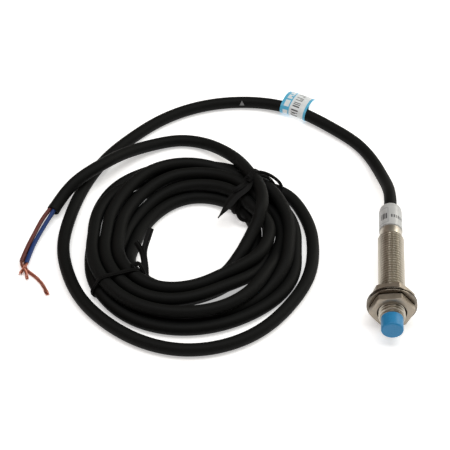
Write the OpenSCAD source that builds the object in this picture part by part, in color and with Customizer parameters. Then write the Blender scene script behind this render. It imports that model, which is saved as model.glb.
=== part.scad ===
// Cylindrical M8 inductive proximity sensor with a free cable, in millimetres.
// The sensor lies on its washers, with its axis along Y and its sensing face towards -Y.
// The origin is under the middle of the sensor, on the surface that it lies on.

/* [Barrel] */
// Major diameter of the thread
thread_d = 8; // [7.9:0.05:8.1]
// Length of the threaded stretch, from the front edge of the barrel
thread_l = 33.2; // [30:0.2:40]
// Diameter of the smooth neck behind the thread
neck_d = 6.9; // [6.6:0.1:7.2]
// Length of the smooth neck
neck_l = 2.9; // [2:0.1:5]
// Bore of the barrel
bore_d = 6; // [5.8:0.1:6.2]

/* [Sensing face] */
// Diameter of the blue cap
cap_d = 6.6; // [6.4:0.1:7]
// How far the cap stands out of the barrel
cap_l = 4.6; // [4:0.1:6]
// Thickness of the cap at the sensing face
cap_face_t = 0.6; // [0.5:0.05:0.8]
// Length of the cap's spigot in the bore
cap_spigot_l = 4; // [3:0.5:5]
// Diameter of the ferrite pot core
core_d = 5; // [4.8:0.1:5.1]
// Length of the ferrite pot core
core_l = 2.4; // [2:0.1:3]

/* [Tail] */
// Diameter of the grey collar at the rear
collar_d = 7; // [6.9:0.1:7.4]
// Length of the grey collar
collar_l = 10.5; // [9:0.5:14]
// Radius of the collar's rear shoulder
collar_round = 1.7; // [1:0.1:1.8]
// Thickness of the printed film around the collar
label_t = 0.1; // [0.08:0.01:0.15]
// Length of the printed film
label_l = 8.2; // [7:0.1:8.6]

/* [Nuts and washers] */
// Width of each nut across its flats
nut_af = 12; // [12:0.5:12.5]
// Thickness of each nut
nut_t = 2.4; // [2:0.1:3]
// Radial clearance between a nut and the thread
nut_clearance = 0.04; // [0.02:0.01:0.1]
// Diameter of each lock washer
washer_d = 15; // [14.6:0.1:15.4]
// Thickness of each lock washer
washer_t = 0.8; // [0.6:0.1:0.8]
// Number of inner teeth on a washer
washer_teeth = 9; // [6:1:12]
// Free gap between neighbours in the stack of nuts and washers
stack_gap = 0.1; // [0.05:0.05:0.2]
// Thread that stands out in front of the front nut
thread_stub = 2.4; // [2:0.1:3]

/* [Cable] */
// Diameter of the cable's black jacket
cable_d = 3.9; // [3.6:0.1:4]
// Diameter of each insulated core
core_wire_d = 1.2; // [1:0.1:1.3]
// Diameter of each bare bundle of copper strands
strand_d = 0.9; // [0.6:0.1:1]
// Width of the flag label along the cable
flag_w = 9.6; // [7:0.2:10]
// Length of the flag label's free flap, along its curve
flag_l = 10; // [6:0.5:10]
// Radius at which the flap droops behind the cable
flag_curl = 12; // [10:0.5:14]
// Thickness of the flag label
flag_t = 0.2; // [0.15:0.05:0.3]

/* [Cable coil] */
// Mean radius of the coil's rounded ends
coil_r = 25; // [24.5:0.1:25.5]
// Length of the straight stretch between the rounded ends
coil_straight = 7.3; // [6:0.1:8]
// Width of the bundle of turns
coil_band = 17.6; // [16:0.2:18]
// Height of the bundle of turns
coil_h = 9; // [8:0.2:10]
// Width of the flat twist ties
tie_w = 1.4; // [1:0.1:2]
// Thickness of the twist ties
tie_t = 0.7; // [0.5:0.1:1]

/* [Electronics] */
// Thickness of the circuit board
board_t = 0.8; // [0.6:0.1:1]
// Width of the circuit board inside the barrel
board_w = 5.4; // [5:0.1:5.5]
// Width of the circuit board inside the cap and the collar
board_end_w = 4.4; // [4:0.1:4.5]

/* [Hidden] */

$fn = 64;

nickel = [0.66, 0.64, 0.58];
cap_blue = [0.22, 0.55, 0.75];
light_grey = [0.78, 0.79, 0.79];
jacket_black = [0.13, 0.13, 0.14];
wire_brown = [0.45, 0.22, 0.18];
wire_blue = [0.15, 0.27, 0.55];
copper = [0.76, 0.42, 0.28];

// Stations along the sensor, measured from the sensing face towards the cable.
axis_z = washer_d / 2;
thread_start = cap_l;
neck_start = thread_start + thread_l;
collar_start = neck_start + neck_l;
sensor_l = collar_start + collar_l;
front_nut_at = thread_start + thread_stub;
front_washer_at = front_nut_at + nut_t + stack_gap;
rear_washer_at = front_washer_at + washer_t + stack_gap;
rear_nut_at = rear_washer_at + washer_t + stack_gap;

// Turn of each nut about the sensor's axis, counted from +X towards +Z.
front_nut_turn = 10;
rear_nut_turn = 15.5;
front_washer_turn = 12;
rear_washer_turn = 30;

edge = 0.3;
cut = 0.01;
countersink = 0.45;
washer_rim_w = 1.9;
tooth_w = 1.4;
tooth_gap = 0.2;
tooth_root = 0.3;
collar_cavity_d = 4.8;
collar_cavity_l = 4.3;
collar_spigot_l = 3;
spigot_wall = 0.4;

// Pot core, bobbin and winding behind the sensing face.
core_gap = 0.05;
core_wall = 0.45;
core_pin_d = 1.8;
core_back_t = 0.8;
bobbin_bore = 2;
bobbin_tube_d = 2.4;
bobbin_flange_d = 3.9;
bobbin_flange_t = 0.2;
bobbin_l = 1.4;
winding_d = 3.7;
end_wire_d = 0.2;
end_wire_x = 1.5;
end_wire_z = 0.6;
end_wire_lap = 1.5;
end_wire_hole_d = 0.45;
potting_gap = 0.1;

// Circuit board, with the station and the size of each part on it.
board_front = 5;
board_step_front = 9;
board_step_rear = 37;
board_rear = 42;
board_top = axis_z + board_t / 2;
chip_s = 14;
chip_size = [3, 3.2, 0.9];
transistor_s = 31;
transistor_size = [1.4, 2.9, 1];
transistor_leg = [0.5, 0.4, 0.15];
transistor_leg_x = 0.95;
resistor_stations = [10.4, 18, 19.6, 21.2, 28];
resistor_x = 1.2;
resistor_size = [1, 0.5, 0.35];
capacitor_stations = [23.4, 25.4];
capacitor_size = [1.6, 0.8, 0.8];
led_s = 41.2;
led_size = [1.6, 0.8, 0.6];
rear_potting_s = 34.2;
rear_potting_l = 2;

// The end of the cable inside the collar.
jacket_end = 43;
seal_l = 1.4;
inner_lead_d = 0.9;
inner_lead_pitch = 1;
inner_lead_l = 2.4;
inner_lead_gap = 0.05;

// Route of the cable's centre from the collar to the coil.
lead_route = [
    [0, sensor_l / 2, axis_z],
    [0, 31, 7.2], [-0.5, 37, 5.8], [-2, 44, 3.8], [-5, 53, 2.4], [-10.5, 62, 2], [-18, 68.5, 2.2],
    [-26, 74, 2.5], [-36, 79, 2.5], [-46, 81, 2.1], [-57, 80, 2], [-68, 76, 2], [-78, 69, 2],
    [-86.5, 59.5, 2], [-93, 50, 2], [-97.5, 40, 2], [-100.5, 29, 2], [-102, 18, 2], [-102, 7, 2],
    [-99, -4, 2], [-93, -15, 2], [-84.5, -23.5, 2], [-73.5, -30, 2], [-61.5, -32.5, 2],
    [-50, -30.5, 2], [-38.5, -23.5, 2], [-30, -12.5, 2], [-25, -1, 2], [-23.8, 10, 2],
    [-25, 20, 2], [-28.5, 29, 2], [-33.5, 35.5, 2], [-40, 38.5, 2]
];
// Route of the cable's centre from the coil to the end of its jacket.
tail_route = [
    [-47, 41, 7], [-50, 46.5, 6.2], [-55.5, 53, 4.2], [-62, 58, 2.4], [-70, 59.3, 2], [-77, 57, 2.3],
    [-83.5, 52.5, 3.5], [-88.5, 47.5, 5], [-94, 40.5, 6.6], [-98, 35.8, 6.9], [-102, 31.5, 5.9],
    [-105, 27.5, 4.1], [-107.4, 22.6, 2.6]
];
brown_route = [
    [-108.3, 22.7, 3.1], [-110.1, 19, 2.4], [-111.8, 12.7, 1.9], [-113.1, 6.6, 1.7], [-114.1, -0.3, 1.5]
];
blue_route = [
    [-106.9, 21.9, 3.1], [-108, 18.3, 2.4], [-109.7, 12.8, 1.9], [-111.2, 6.7, 1.7], [-112.2, -0.8, 1.5]
];
black_route = [
    [-107.7, 22.3, 1.4], [-109.1, 18.7, 1], [-110.7, 12.8, 0.7], [-112.1, 7.1, 0.65], [-112.8, 3.5, 0.65]
];
brown_strand_route = [
    [-114.1, -0.3, 1.5], [-113.4, -2.4, 1.7], [-112.3, -3.8, 1.5], [-111.2, -6.7, 0.5]
];
blue_strand_route = [
    [-112.2, -0.8, 1.5], [-112.4, -2.4, 2], [-113.1, -3.5, 1.4], [-113.9, -5, 0.5]
];
black_strand_route = [
    [-112.8, 3.5, 0.65], [-113.1, 0, 0.5], [-112.7, -1.8, 0.5], [-109.8, -4.7, 0.5],
    [-106.4, -8.2, 0.5], [-103.9, -12.6, 0.5]
];

coil_centre = [-61.3, 10, 0];
coil_chamfer = 2.5;
tie_gap = 0.05;
wire_sides = 8;
upper_tie_angle = 57;
lower_tie_angle = 217;
upper_tie_tail = [[-48.2, 33.8, 9.4], [-54, 19, 6]];
lower_tie_tails = [[[-73.9, -3.2, 5], [-75, 7, 10]], [[-73.9, -3.2, 5], [-78.5, 3.5, 10.5]]];
flag_centre = [-32, 77, 2.5];
flag_turn = -26.6;
flag_rise = 10;
flag_gap = 0.2;
flag_step = 0.02;

// Places its children with +Z of their frame along the sensor, s from the sensing face.
module station(s) {
    translate([0, s - sensor_l / 2, axis_z]) rotate([-90, 0, 0]) children();
}

// A tube about the local Z axis.
module tube(outer_d, inner_d, h) {
    difference() {
        cylinder(d = outer_d, h = h);
        translate([0, 0, -1]) cylinder(d = inner_d, h = h + 2);
    }
}

// A cylinder with a 45 degree chamfer at its lower end, its upper end, or both.
module chamfered_rod(d, h, low, high) {
    rotate_extrude() polygon([
        [0, 0], [d / 2 - low, 0], [d / 2, low], [d / 2, h - high], [d / 2 - high, h], [0, h]
    ]);
}

// A straight round bar between two points.
module bar(from, to, d) {
    way = to - from;
    translate(from)
        rotate([0, acos(way.z / norm(way)), atan2(way.y, way.x)])
            cylinder(d = d, h = norm(way));
}

// A block that lies on the circuit board, s to its middle from the sensing face.
module on_board(s, x, size) {
    translate([x - size.x / 2, s - sensor_l / 2 - size.y / 2, board_top]) cube(size);
}

function unit(v) = v / norm(v);
function tangent(route, i) = unit(route[min(i + 1, len(route) - 1)] - route[max(i - 1, 0)]);
function ring(centre, way, d) =
    let (side = unit(cross(way, [0, 0, 1])), up = cross(side, way), reach = d / 2 / cos(180 / wire_sides))
    [for (k = [0 : wire_sides - 1])
        let (a = 360 * (k + 0.5) / wire_sides)
        centre + reach * (cos(a) * side + sin(a) * up)];

// A round wire swept along a route, as one closed polyhedron.
module wire(route, d) {
    n = wire_sides;
    last = len(route) - 1;
    points = [for (i = [0 : last]) each ring(route[i], tangent(route, i), d)];
    walls = [for (i = [0 : last - 1], k = [0 : n - 1])
        [i * n + k, i * n + (k + 1) % n, (i + 1) * n + (k + 1) % n, (i + 1) * n + k]];
    front_end = [for (k = [n - 1 : -1 : 0]) k];
    rear_end = [for (k = [0 : n - 1]) last * n + k];
    polyhedron(points, concat([front_end], walls, [rear_end]));
}

module barrel() {
    color(nickel) station(thread_start) difference() {
        union() {
            chamfered_rod(thread_d, thread_l, edge, edge);
            cylinder(d = neck_d, h = thread_l + neck_l);
        }
        translate([0, 0, -1]) cylinder(d = bore_d, h = thread_l + neck_l + 2);
    }
}

module sensing_cap() {
    color(cap_blue) station(0) difference() {
        union() {
            chamfered_rod(cap_d, cap_l, edge, 0);
            cylinder(d = bore_d, h = cap_l + cap_spigot_l);
        }
        translate([0, 0, cap_face_t]) cylinder(d = bore_d - 2 * spigot_wall, h = cap_l + cap_spigot_l);
    }
}

module at_end_wires() {
    for (x = [-end_wire_x, end_wire_x]) translate([x, -end_wire_z, 0]) children();
}

module ferrite_core() {
    color([0.2, 0.2, 0.21]) station(cap_face_t + core_gap) difference() {
        cylinder(d = core_d, h = core_l);
        translate([0, 0, -1]) tube(core_d - 2 * core_wall, core_pin_d, core_l - core_back_t + 1);
        at_end_wires() cylinder(d = end_wire_hole_d, h = core_l + 1);
    }
}

module coil_bobbin() {
    color([0.9, 0.88, 0.8]) station(cap_face_t + 2 * core_gap) {
        tube(bobbin_tube_d, bobbin_bore, bobbin_l);
        for (z = [0, bobbin_l - bobbin_flange_t])
            translate([0, 0, z]) tube(bobbin_flange_d, bobbin_bore, bobbin_flange_t);
    }
}

module sensing_coil() {
    color(copper) station(cap_face_t + 2 * core_gap + bobbin_flange_t)
        tube(winding_d, bobbin_tube_d, bobbin_l - 2 * bobbin_flange_t);
}

module coil_end_wires() {
    start = cap_face_t + 2 * core_gap + bobbin_l;
    color(copper) station(start) at_end_wires() cylinder(d = end_wire_d, h = board_front + end_wire_lap - start);
}

module front_potting() {
    start = cap_face_t + core_gap + core_l + potting_gap;
    color([0.25, 0.22, 0.2]) station(start) difference() {
        cylinder(d = bore_d - 2 * spigot_wall, h = board_front - start - potting_gap);
        at_end_wires() translate([0, 0, -1]) cylinder(d = end_wire_hole_d, h = board_front);
    }
}

module circuit_board() {
    color([0.1, 0.4, 0.25]) {
        stretches = [
            [board_front, board_step_front, board_end_w],
            [board_step_front, board_step_rear, board_w],
            [board_step_rear, board_rear, board_end_w]
        ];
        for (part = stretches)
            translate([-part[2] / 2, part[0] - sensor_l / 2, axis_z - board_t / 2])
                cube([part[2], part[1] - part[0], board_t]);
    }
}

module oscillator_chip() {
    color([0.12, 0.12, 0.13]) on_board(chip_s, 0, chip_size);
}

module output_transistor() {
    color([0.12, 0.12, 0.13]) {
        on_board(transistor_s, 0, transistor_size);
        for (leg = [[-1, -1], [-1, 1], [1, 0]])
            on_board(transistor_s + leg.y * transistor_leg_x, leg.x * transistor_leg_x, transistor_leg);
    }
}

module chip_resistors() {
    color([0.15, 0.15, 0.16])
        for (s = resistor_stations, x = [-resistor_x, resistor_x]) on_board(s, x, resistor_size);
}

module chip_capacitors() {
    color([0.72, 0.6, 0.45])
        for (s = capacitor_stations) on_board(s, 0, capacitor_size);
}

module indicator_led() {
    color([0.9, 0.25, 0.1])
        translate([
            -led_size.x / 2,
            led_s - sensor_l / 2 - led_size.y / 2,
            axis_z - board_t / 2 - led_size.z
        ]) cube(led_size);
}

module rear_potting() {
    color([0.25, 0.22, 0.2]) station(rear_potting_s) difference() {
        cylinder(d = bore_d, h = rear_potting_l);
        cube([board_w, board_t, 3 * rear_potting_l], center = true);
    }
}

module tail_collar() {
    cavity_l = collar_spigot_l + collar_cavity_l;
    color(light_grey) station(collar_start) difference() {
        union() {
            rotate_extrude() {
                square([collar_d / 2, collar_l - collar_round]);
                square([collar_d / 2 - collar_round, collar_l]);
                translate([collar_d / 2 - collar_round, collar_l - collar_round]) intersection() {
                    circle(r = collar_round);
                    square(collar_round);
                }
            }
            translate([0, 0, -collar_spigot_l]) cylinder(d = bore_d, h = collar_spigot_l);
        }
        translate([0, 0, -collar_spigot_l - 1]) cylinder(d = collar_cavity_d, h = cavity_l + 1);
        cylinder(d = cable_d, h = collar_l + 1);
    }
}

module label_sleeve() {
    color([0.82, 0.83, 0.83]) station(collar_start + label_t) tube(collar_d + 2 * label_t, collar_d, label_l);
}

module cable_seal() {
    color([0.2, 0.2, 0.2]) station(collar_start + collar_cavity_l - seal_l) tube(collar_cavity_d, cable_d, seal_l);
}

module cable_root() {
    color(jacket_black) station(jacket_end) cylinder(d = cable_d, h = sensor_l - jacket_end);
}

module inner_lead(place) {
    translate([
        place * inner_lead_pitch,
        jacket_end - inner_lead_l - sensor_l / 2,
        board_top + inner_lead_d / 2 + inner_lead_gap
    ]) rotate([-90, 0, 0]) cylinder(d = inner_lead_d, h = inner_lead_l);
}

module brown_inner_lead() {
    color(wire_brown) inner_lead(-1);
}

module black_inner_lead() {
    color(jacket_black) inner_lead(0);
}

module blue_inner_lead() {
    color(wire_blue) inner_lead(1);
}

// A thin hexagon nut with both faces chamfered and a countersunk bore.
module thin_nut(turn) {
    corner_d = nut_af / cos(30);
    bore = thread_d + 2 * nut_clearance;
    slope = (corner_d - nut_af) / 2 * tan(30);
    rotate([0, 0, -turn]) difference() {
        intersection() {
            cylinder(d = corner_d, h = nut_t, $fn = 6);
            rotate_extrude() polygon([
                [0, 0], [nut_af / 2, 0], [corner_d / 2, slope], [corner_d / 2, nut_t - slope],
                [nut_af / 2, nut_t], [0, nut_t]
            ]);
        }
        translate([0, 0, -1]) cylinder(d = bore, h = nut_t + 2);
        translate([0, 0, -cut]) cylinder(d1 = bore + 2 * countersink, d2 = bore, h = countersink);
        translate([0, 0, nut_t - countersink + cut])
            cylinder(d1 = bore, d2 = bore + 2 * countersink, h = countersink);
    }
}

// A lock washer with a smooth rim and teeth that point inwards.
module lock_washer(turn) {
    rim_in = washer_d / 2 - washer_rim_w;
    tooth_in = thread_d / 2 + tooth_gap;
    rotate([0, 0, -turn]) {
        tube(washer_d, 2 * rim_in, washer_t);
        for (k = [1 : washer_teeth]) rotate([0, 0, k * 360 / washer_teeth])
            translate([tooth_in, -tooth_w / 2, 0]) cube([rim_in - tooth_in + tooth_root, tooth_w, washer_t]);
    }
}

module front_nut() {
    color(nickel) station(front_nut_at) thin_nut(front_nut_turn);
}

module front_washer() {
    color(nickel) station(front_washer_at) lock_washer(front_washer_turn);
}

module rear_washer() {
    color(nickel) station(rear_washer_at) lock_washer(rear_washer_turn);
}

module rear_nut() {
    color(nickel) station(rear_nut_at) thin_nut(rear_nut_turn);
}

module cable_lead() {
    color(jacket_black) wire(lead_route, cable_d);
}

module cable_tail() {
    color(jacket_black) wire(tail_route, cable_d);
}

// Outline of the bundle of turns, with a margin all round for the ties.
module bundle_section(margin = 0) {
    half = coil_band / 2 + margin;
    top = coil_h + margin;
    c = coil_chamfer + margin / 2;
    translate([coil_r, 0]) polygon([
        [-half, c], [c - half, -margin], [half - c, -margin], [half, c],
        [half, top - c], [half - c, top], [c - half, top], [-half, top - c]
    ]);
}

module cable_coil() {
    color(jacket_black) translate(coil_centre) {
        for (turn = [0, 180]) rotate([0, 0, turn]) {
            translate([0, coil_straight / 2, 0]) rotate_extrude(angle = 180) bundle_section();
            translate([0, coil_straight / 2, 0]) rotate([90, 0, 0])
                linear_extrude(coil_straight) bundle_section();
        }
    }
}

// The arch of a twist tie over the bundle, at an angle around one rounded end of the coil.
module tie_arch(end, angle) {
    translate(coil_centre + [0, end * coil_straight / 2, 0]) rotate([90, 0, angle])
        translate([0, 0, -tie_w / 2]) linear_extrude(tie_w) difference() {
            bundle_section(tie_t + tie_gap);
            bundle_section(tie_gap);
            translate([0, -coil_h]) square([2 * coil_r, coil_h]);
        }
}

module upper_tie() {
    color(jacket_black) {
        tie_arch(1, upper_tie_angle);
        bar(upper_tie_tail[0], upper_tie_tail[1], tie_w);
    }
}

module lower_tie() {
    color(jacket_black) {
        tie_arch(-1, lower_tie_angle);
        for (tail = lower_tie_tails) bar(tail[0], tail[1], tie_t);
    }
}

module brown_core() {
    color(wire_brown) wire(brown_route, core_wire_d);
}

module blue_core() {
    color(wire_blue) wire(blue_route, core_wire_d);
}

module black_core() {
    color(jacket_black) wire(black_route, core_wire_d);
}

module brown_conductor() {
    color(copper) wire(brown_strand_route, strand_d);
}

module blue_conductor() {
    color(copper) wire(blue_strand_route, strand_d);
}

module black_conductor() {
    color(copper) wire(black_strand_route, strand_d);
}

module cable_flag() {
    inner = cable_d + 2 * flag_gap;
    sweep = flag_l / flag_curl * 180 / PI;
    // Distance from the cable's centre to the centre of the flap's curve.
    offset_r = flag_curl - inner / 2 - flag_t / 2 - flag_step;
    color([0.85, 0.92, 0.95]) translate(flag_centre) rotate([0, 0, flag_turn]) {
        rotate([0, 90, 0]) translate([0, 0, -flag_w / 2]) tube(inner + 2 * flag_t, inner, flag_w);
        translate([0, offset_r * sin(flag_rise), -offset_r * cos(flag_rise)])
            rotate([0, 90, 0]) rotate([0, 0, 180 + flag_rise - sweep]) rotate_extrude(angle = sweep)
                translate([flag_curl - flag_t / 2, -flag_w / 2]) square([flag_t, flag_w]);
    }
}

barrel();
sensing_cap();
ferrite_core();
coil_bobbin();
sensing_coil();
coil_end_wires();
front_potting();
circuit_board();
oscillator_chip();
output_transistor();
chip_resistors();
chip_capacitors();
indicator_led();
rear_potting();
tail_collar();
label_sleeve();
cable_seal();
cable_root();
brown_inner_lead();
black_inner_lead();
blue_inner_lead();
front_nut();
front_washer();
rear_washer();
rear_nut();
cable_lead();
cable_coil();
cable_tail();
brown_core();
blue_core();
black_core();
brown_conductor();
blue_conductor();
black_conductor();
upper_tie();
lower_tie();
cable_flag();
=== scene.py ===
"""Looks of an M8 proximity sensor with a free cable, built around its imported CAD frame.

Lengths are in millimetres here, as in the CAD source, and MM turns them into metres wherever
mesh, curve, light or camera data is made. Angles phi go round the sensor from +X towards +Z.
"""

import math

import bmesh
import bpy
import numpy as np
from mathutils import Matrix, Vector


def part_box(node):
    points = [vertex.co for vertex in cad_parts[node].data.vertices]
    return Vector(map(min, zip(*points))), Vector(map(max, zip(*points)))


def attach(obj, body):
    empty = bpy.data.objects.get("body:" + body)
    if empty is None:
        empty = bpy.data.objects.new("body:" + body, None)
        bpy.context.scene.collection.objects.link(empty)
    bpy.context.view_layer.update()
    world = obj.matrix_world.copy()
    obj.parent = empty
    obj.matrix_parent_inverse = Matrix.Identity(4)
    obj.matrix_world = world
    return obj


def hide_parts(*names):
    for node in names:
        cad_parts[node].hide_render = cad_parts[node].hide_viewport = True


MM = 0.001
TURN = 2 * math.pi

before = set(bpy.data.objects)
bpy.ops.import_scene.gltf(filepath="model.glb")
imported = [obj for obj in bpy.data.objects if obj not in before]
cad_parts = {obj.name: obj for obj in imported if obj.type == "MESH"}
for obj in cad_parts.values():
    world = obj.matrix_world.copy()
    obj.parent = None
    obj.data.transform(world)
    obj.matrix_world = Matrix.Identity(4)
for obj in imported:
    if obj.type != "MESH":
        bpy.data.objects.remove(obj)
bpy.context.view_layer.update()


# ---------------------------------------------------------------- places taken from the frame

def middle(node):
    low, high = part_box(node)
    return (low + high) / 2 / MM


def reach(node, axis):
    """Lowest and highest coordinate of a CAD node along one axis, in millimetres."""
    low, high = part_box(node)
    return low[axis] / MM, high[axis] / MM


BARREL = reach("barrel", 1)
CAP = reach("sensing_cap", 1)
COLLAR = reach("tail_collar", 1)
LABEL = reach("label_sleeve", 1)
AXIS_Z = middle("barrel").z

# Sizes in the CAD source that the frame's boxes don't tell.
THREAD_D = 8
PITCH = 1
THREAD_DEPTH = 0.6
THREAD_LENGTH = 33.2
NECK_D = 6.9
BORE_D = 6
CAP_D = 6.6
COLLAR_D = 7
SPIGOT = 3
LABEL_T = 0.1
NUT_AF = 12
WASHER_D = 15
CABLE_D = 3.9
CORE_D = 1.2

# Sizes drawn a little off the CAD's, to look as they do in the photograph.
JACKET_R = CABLE_D / 2 + 0.05
CORE_DRAWN_D = CORE_D + 0.16
WASHER_DRAWN_T = 0.5

# The flag: its radius on the cable and its width, then its flap's length, curl radius, rise and skew.
FLAG_R = JACKET_R + 0.12
FLAG_W = 9.6
FLAG_L = 10
FLAG_CURL = 12
FLAG_RISE = math.radians(10)
FLAG_SKEW = 0.12
FLAG_CENTRE = (-32.3, 77.1, 2.5)
MARK_CENTRE = (-50.1, 79.5, 2)

# The cable's route, as in the CAD source.
LEAD_ROUTE = [
    (0, 25.6, 7.5), (0, 31, 7.2), (-0.5, 37, 5.8), (-2, 44, 3.8), (-5, 53, 2.4), (-10.5, 62, 2),
    (-18, 68.5, 2.2), (-26, 74, 2.5), (-36, 79, 2.5), (-46, 81, 2.1), (-57, 80, 2), (-68, 76, 2),
    (-78, 69, 2), (-86.5, 59.5, 2), (-93, 50, 2), (-97.5, 40, 2), (-100.5, 29, 2), (-102, 18, 2),
    (-102, 7, 2), (-99, -4, 2), (-93, -15, 2), (-84.5, -23.5, 2), (-73.5, -30, 2), (-61.5, -32.5, 2),
    (-50, -30.5, 2), (-38.5, -23.5, 2), (-30, -12.5, 2), (-25, -1, 2), (-23.8, 10, 2), (-25, 20, 2),
    (-28.5, 29, 2), (-33.5, 35.5, 2), (-40, 38.5, 2),
]
TAIL_ROUTE = [
    (-47, 41, 7), (-50, 46.5, 6.2), (-55.5, 53, 4.2), (-62, 58, 2.4), (-70, 59.3, 2), (-77, 57, 2.3),
    (-83.5, 52.5, 3.5), (-88.5, 47.5, 5), (-94, 40.5, 6.6), (-98, 35.8, 6.9), (-102, 31.5, 5.9),
    (-105, 27.5, 4.1), (-107.4, 22.6, 2.6),
]
# The cores. The blue one lies up to 0.4 mm nearer the brown one than in the CAD.
BROWN_ROUTE = [
    (-108.3, 22.7, 3.1), (-110.1, 19, 2.4), (-111.8, 12.7, 1.9), (-113.1, 6.6, 1.7), (-114.1, -0.3, 1.5),
]
BLUE_ROUTE = [
    (-107.1, 22, 3.1), (-108.4, 18.5, 2.4), (-110.1, 12.9, 1.9), (-111.5, 6.7, 1.7), (-112.4, -0.8, 1.5),
]
BLACK_ROUTE = [
    (-107.7, 22.3, 1.4), (-109.1, 18.7, 1), (-110.7, 12.8, 0.7), (-112.1, 7.1, 0.65), (-112.8, 3.5, 0.65),
]
# Their bare strands.
BROWN_STRAND_ROUTE = [(-114.1, -0.3, 1.5), (-113.4, -2.4, 1.7), (-112.3, -3.8, 1.5), (-111.2, -6.7, 0.5)]
BLUE_STRAND_ROUTE = [(-112.2, -0.8, 1.5), (-112.4, -2.4, 2), (-113.1, -3.5, 1.4), (-113.9, -5, 0.5)]
BLACK_STRAND_ROUTE = [
    (-112.8, 3.5, 0.65), (-113.1, 0, 0.5), (-112.7, -1.8, 0.5), (-109.8, -4.7, 0.5),
    (-106.4, -8.2, 0.5), (-103.9, -12.6, 0.5),
]

# The coil: a loop of two half circles and two straights, followed counterclockwise from the upper
# tie.
COIL_CENTRE = (-61.3, 10)
COIL_R = 25
COIL_STRAIGHT = 7.3
UPPER_TIE = math.radians(57)
ARC = COIL_R * math.pi
LAP = 2 * ARC + 2 * COIL_STRAIGHT
TIE_T = 0.7
TIE_W = 1.4

# How far round the loop each lane is set, from the upper tie.
STATIONS = [0, 20, 38, 52, 62, 77, 100, 120, 135, 148]
LOWER_TIE_AT = 77
# One row for each turn: how far outside the loop, and how high, its centre is at each station.
LANES = [
    [(6.3, 2), (8.6, 2), (8.4, 2), (7, 2), (6.2, 2), (7.2, 2), (5.9, 2), (5.2, 2), (5.6, 2), (6.5, 2)],
    [(2.4, 2), (3.6, 2), (6.4, 4.6), (6.4, 5.8), (6, 5.9), (5.2, 5.3), (2, 5), (1.8, 5.5), (1.6, 4),
     (2.3, 2.4)],
    [(-1.5, 2), (-0.3, 2), (1.6, 2), (2, 2), (2.2, 2), (3.7, 2), (1.5, 2), (1.8, 2), (4, 4.4), (5, 5.3)],
    [(4.4, 5.3), (7, 5.3), (3.6, 5.7), (2.2, 5.5), (2, 5.6), (1.3, 5.5), (-3.6, 5.3), (-6, 5.2), (-3.6, 3),
     (-1.8, 2)],
    [(0.5, 5.3), (0.7, 5.3), (-1.7, 5.4), (-2, 5.5), (-1.9, 5.5), (-2.6, 5.4), (-8, 5.3), (-9.6, 5.3),
     (-4.6, 5.9), (-0.3, 5.4)],
    [(-3.4, 5.3), (-4.3, 5.2), (-4.8, 2.8), (-4, 2), (-1.9, 2), (-1.4, 2), (-6, 2), (-8.1, 2), (-7, 2),
     (-5.8, 2)],
    [(-5.4, 2), (-6.9, 2), (-8.6, 2), (-7.8, 2), (-5.2, 2), (-6, 2), (-10.4, 2), (-12, 2), (-9.4, 3),
     (-4.8, 5.3)],
]
# The last turn climbs over the bundle here, before the tail starts.
CLIMB = [(-12, (-0.8, 8)), (-2, (3.4, 9.2))]
# How far along the cable the turns end, from the upper tie where they start.
WOUND = len(LANES) * LAP


# ---------------------------------------------------------------- curves

def natural_spline(knots, values, at):
    """A cubic spline through values at the knots, with free ends."""
    knots = np.asarray(knots, float)
    values = np.asarray(values, float)
    gap = np.diff(knots)
    count = len(knots)
    system = np.eye(count)
    right = np.zeros_like(values)
    for i in range(1, count - 1):
        system[i, i - 1:i + 2] = gap[i - 1], 2 * (gap[i - 1] + gap[i]), gap[i]
        right[i] = 6 * ((values[i + 1] - values[i]) / gap[i] - (values[i] - values[i - 1]) / gap[i - 1])
    bend = np.linalg.solve(system, right)
    k = np.clip(np.searchsorted(knots, at) - 1, 0, count - 2)
    t = (at - knots[k])[:, None]
    h = gap[k][:, None]
    slope = (values[k + 1] - values[k]) / h - h * (2 * bend[k] + bend[k + 1]) / 6
    return values[k] + t * slope + t ** 2 * bend[k] / 2 + t ** 3 * (bend[k + 1] - bend[k]) / (6 * h)


def along(points):
    """Distance along a line of points, at each of them."""
    return np.concatenate([[0], np.cumsum(np.linalg.norm(np.diff(points, axis=0), axis=1))])


def smooth_path(points, step):
    """Points about step apart on a smooth curve through the given ones."""
    points = np.array(points, float)
    chord = along(points)
    count = max(8, int(4 * chord[-1] / step))
    fine = natural_spline(chord, points, np.linspace(0, chord[-1], count))
    length = along(fine)
    at = np.linspace(0, length[-1], max(2, round(length[-1] / step)) + 1)
    return np.stack([np.interp(at, length, fine[:, k]) for k in range(3)], axis=1)


def unit(vectors):
    return vectors / np.linalg.norm(vectors, axis=-1, keepdims=True)


def frames(path, up=(0, 0, 1)):
    """Side and up directions along a path, carried along it without needless twist."""
    way = unit(np.gradient(path, axis=0))
    lift = np.zeros_like(path)
    last = np.array(up, float)
    for i, t in enumerate(way):
        last = unit(last - t * (last @ t))
        lift[i] = last
    return np.cross(way, lift), lift


# ---------------------------------------------------------------- winding of the coil

def loop_base(at):
    """Point on the loop, and its outward direction, at a distance from the upper tie."""
    at = np.mod(np.asarray(at, float) + UPPER_TIE * COIL_R, LAP)
    second = at >= ARC + COIL_STRAIGHT
    on_arc = np.clip(np.where(second, at - ARC - COIL_STRAIGHT, at), 0, ARC)
    straight = at - np.where(second, ARC + COIL_STRAIGHT, 0) - on_arc
    angle = on_arc / COIL_R + math.pi * second
    side = np.where(second, -1, 1)
    outward = np.stack([np.cos(angle), np.sin(angle)], axis=-1)
    point = COIL_R * outward + COIL_CENTRE
    point[..., 1] += side * (COIL_STRAIGHT / 2 - straight)
    return point, outward


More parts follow.
